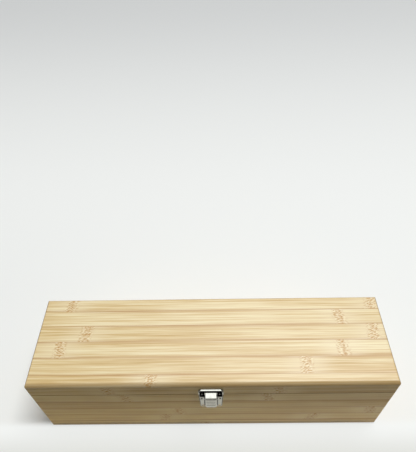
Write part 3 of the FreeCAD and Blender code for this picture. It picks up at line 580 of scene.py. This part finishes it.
def dress_frame():
    """Gives every node of the part its finish."""
    wall = ("Z", WALL_STRIP, WALL_GLUE_LINE)
    front = Bamboo("bamboo_front", "X", *wall, table=FRONT_STRIPS, crisp=0.65).lacquered()
    back = Bamboo("bamboo_back", "X", *wall).lacquered()
    sides = Bamboo("bamboo_sides", "Y", *wall).lacquered()
    lid_wood = Bamboo("bamboo_lid", "X", "Y", LID_STRIP, LID_GLUE_LINE, table=LID_STRIPS, crisp=1.0)
    lid = lid_wood.lacquered(sheen=0.8, coat=0.15)
    bottom = Bamboo("bamboo_floor", "X", "Y", LID_STRIP, BOTTOM_GLUE_LINE).lacquered()
    # Dark nail steel: partly the nails' colour, partly painted shade in the nail holes.
    nails = brushed("nail_steel_and_shade", *NAIL_STEEL_AND_SHADE, roughness=0.2)
    by_slot = {
        "latch_chrome": plated("latch_chrome", *CHROME),
        "hinge_nickel": brushed("hinge_nickel", *NICKEL, roughness=0.24),
        "fastener_steel": brushed("fastener_steel", *STEEL, roughness=0.2),
        "spring_steel": brushed("spring_steel", *SPRING_STEEL, roughness=0.28),
    }
    by_node = {
        "lid_panel": lid, "bottom_panel": bottom, "neck_rest": sides,
        "lid_front_rail": front, "base_front_wall": front, "lid_back_rail": back, "base_back_wall": back,
        "lid_left_rail": sides, "lid_right_rail": sides, "base_left_wall": sides, "base_right_wall": sides,
        "latch_keeper_nails": nails, "latch_housing_nails": nails,
    }
    slots = {row["node"]: row["material_slot"] for row in frame["record"]["subparts"]}
    for name, item in frame["nodes"].items():
        item.data.materials.clear()
        item.data.materials.append(by_node.get(name) or by_slot[slots[name]])


# Spring

def bend_spring():
    """Stands in for the rigid leaf spring with a copy, cut across its arm at even steps."""
    node = frame["nodes"]["latch_spring"]
    form = bmesh.new()
    form.from_mesh(node.data)
    form.transform(node.matrix_world)
    for number in range(1, SPRING_CUTS):
        place = SPRING_ROOT.lerp(SPRING_TIP, number / SPRING_CUTS)
        everything = form.verts[:] + form.edges[:] + form.faces[:]
        bmesh.ops.bisect_plane(form, geom=everything, plane_co=place, plane_no=SPRING_TIP - SPRING_ROOT)
    mesh = bpy.data.meshes.new("latch_spring_leaf")
    form.to_mesh(mesh)
    form.free()
    mesh.materials.append(node.data.materials[0])
    leaf = bpy.data.objects.new("latch_spring_leaf", mesh)
    bpy.context.scene.collection.objects.link(leaf)
    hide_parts("latch_spring")
    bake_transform(leaf)


# Stage

def new_plane(name, size, place, turn, material):
    """A flat rectangle about its place, which faces up where it isn't turned."""
    half_x, half_y = size[0] / 2, size[1] / 2
    corners = [(-half_x, -half_y, 0), (half_x, -half_y, 0), (half_x, half_y, 0), (-half_x, half_y, 0)]
    mesh = bpy.data.meshes.new(name)
    mesh.from_pydata(corners, [], [(0, 1, 2, 3)])
    mesh.materials.append(material)
    item = bpy.data.objects.new(name, mesh)
    item.location = place
    item.rotation_euler = turn
    bpy.context.scene.collection.objects.link(item)
    return item


def lay_floor():
    """A pale floor, partly glowing where seen, darker far off and in front as painted shade, and glowing
    more in front as painted light; it throws a dimmer, warmer light back up.
    """
    shader = Shader("pale_floor")
    place = shader.split(shader.coordinates("Object"))
    beside = shader.fade(shader.math("ABSOLUTE", place["X"]), *FLOOR_SIDE_FADE)
    wide = shader.fade(place["Y"], *FLOOR_WIDE_FADE)

    def in_front(span):
        """0 to 1 over a span towards the camera that widens out beside the box."""
        sharp = shader.fade(place["Y"], *span)
        return shader.plus(sharp, shader.times(beside, shader.minus(wide, sharp)))

    # Painted shade: the floor's colour darkens far behind the box and in front of it.
    colour = shader.mix(shader.fade(place["Y"], *FLOOR_FAR_SHADE_FADE), FLOOR_NEAR, SHADED_FLOOR_FAR)
    colour = shader.mix(in_front(FLOOR_FRONT_SHADE_FADE), colour, SHADED_FLOOR_FRONT)
    # Painted light: the floor glows more in front of the box, which lightens the box's shadow there.
    far = shader.times(shader.fade(place["Y"], *FLOOR_FAR_GLOW_FADE), FLOOR_FAR_GLOW - FLOOR_NEAR_GLOW)
    front = shader.times(in_front(PAINTED_LIGHT_FRONT_FADE), PAINTED_LIGHT_FRONT_GLOW - FLOOR_NEAR_GLOW)
    glow = shader.plus(shader.plus(far, front), FLOOR_NEAR_GLOW)
    lit = shader.mix(glow, colour, BLACK)
    bounce = shader.mix(shader.fade(place["X"], *BOUNCE_LEFT_FADE), BOUNCE_NEAR, BOUNCE_LEFT)
    bounce = shader.mix(shader.fade(place["Y"], *BOUNCE_FRONT_FADE), bounce, BOUNCE_FRONT)
    seen = shader.seen()
    material = shader.finish(Base_Color=shader.mix(seen, bounce, lit), Roughness=0.6, Specular_IOR_Level=0.2,
                             Emission_Color=colour, Emission_Strength=shader.times(seen, glow))
    new_plane("floor", (FLOOR_SIZE, FLOOR_SIZE), (0, 0, 0), LEVEL, material)


def hang_card(name, size, place, turn, colour, strength):
    """A card that shows only in mirror-like surfaces and casts no light or shadow on anything else."""
    material = Shader(name).finish(Base_Color=BLACK, Roughness=1.0, Specular_IOR_Level=0.0,
                                   Emission_Color=colour, Emission_Strength=strength)
    card = new_plane(name, size, place, turn, material)
    card.visible_camera = False
    card.visible_diffuse = False
    card.visible_transmission = False
    card.visible_shadow = False


def hang_front_card(name, bottom, top, colour, strength):
    """An upright card in front of the box."""
    place = (0.0, FRONT_CARD_Y, (bottom + top) / 2)
    hang_card(name, (FRONT_CARD_WIDTH, top - bottom), place, UPRIGHT, colour, strength)


def hang_lamp():
    """One large soft lamp high up to the right."""
    light = bpy.data.lights.new("key", "AREA")
    light.size = LAMP_SIZE
    light.energy = LAMP_POWER
    lamp = bpy.data.objects.new("key", light)
    lamp.location = LAMP_PLACE
    lamp.rotation_euler = (LAMP_TARGET - LAMP_PLACE).to_track_quat("-Z", "Y").to_euler()
    bpy.context.scene.collection.objects.link(lamp)


def set_world():
    """A pale background, and a dim light all round that is brighter behind the box than before it."""
    world = bpy.data.worlds.new("studio")
    bpy.context.scene.world = world
    world.use_nodes = True
    nodes = Nodes(world.node_tree)
    direction = nodes.split(nodes.coordinates("Generated"))
    light = nodes.mix(nodes.fade(direction["Y"], *WORLD_FADE), WORLD_FRONT_LIGHT, WORLD_BACK_LIGHT)
    colour = nodes.mix(nodes.seen(), light, WORLD_BACKGROUND)
    nodes.feed(world.node_tree.nodes["Background"], {"Color": colour})


def set_camera():
    """The camera of the main view."""
    data = bpy.data.cameras.new("camera")
    data.lens = CAMERA_LENS
    data.sensor_width = CAMERA_SENSOR
    data.clip_start = CAMERA_CLIP
    camera = bpy.data.objects.new("camera", data)
    camera.location = CAMERA_PLACE
    aim = (CAMERA_TARGET - CAMERA_PLACE).to_track_quat("-Z", "Y")
    camera.rotation_euler = (aim @ Quaternion((0, 0, 1), CAMERA_ROLL)).to_euler()
    bpy.context.scene.collection.objects.link(camera)
    bpy.context.scene.camera = camera


bpy.context.scene.view_settings.view_transform = "Standard"
dress_frame()
bend_spring()
lay_floor()
hang_front_card("dark_card", GREY_CARD_TOP, DARK_CARD_TOP, BLACK, 0.0)
hang_front_card("grey_card", 0.0, GREY_CARD_TOP, GREY_CARD_COLOUR, GREY_CARD_STRENGTH)
hang_card("white_card", WHITE_CARD_SIZE, WHITE_CARD_PLACE, LEVEL, WHITE_CARD_COLOUR, WHITE_CARD_STRENGTH)
hang_lamp()
set_world()
set_camera()
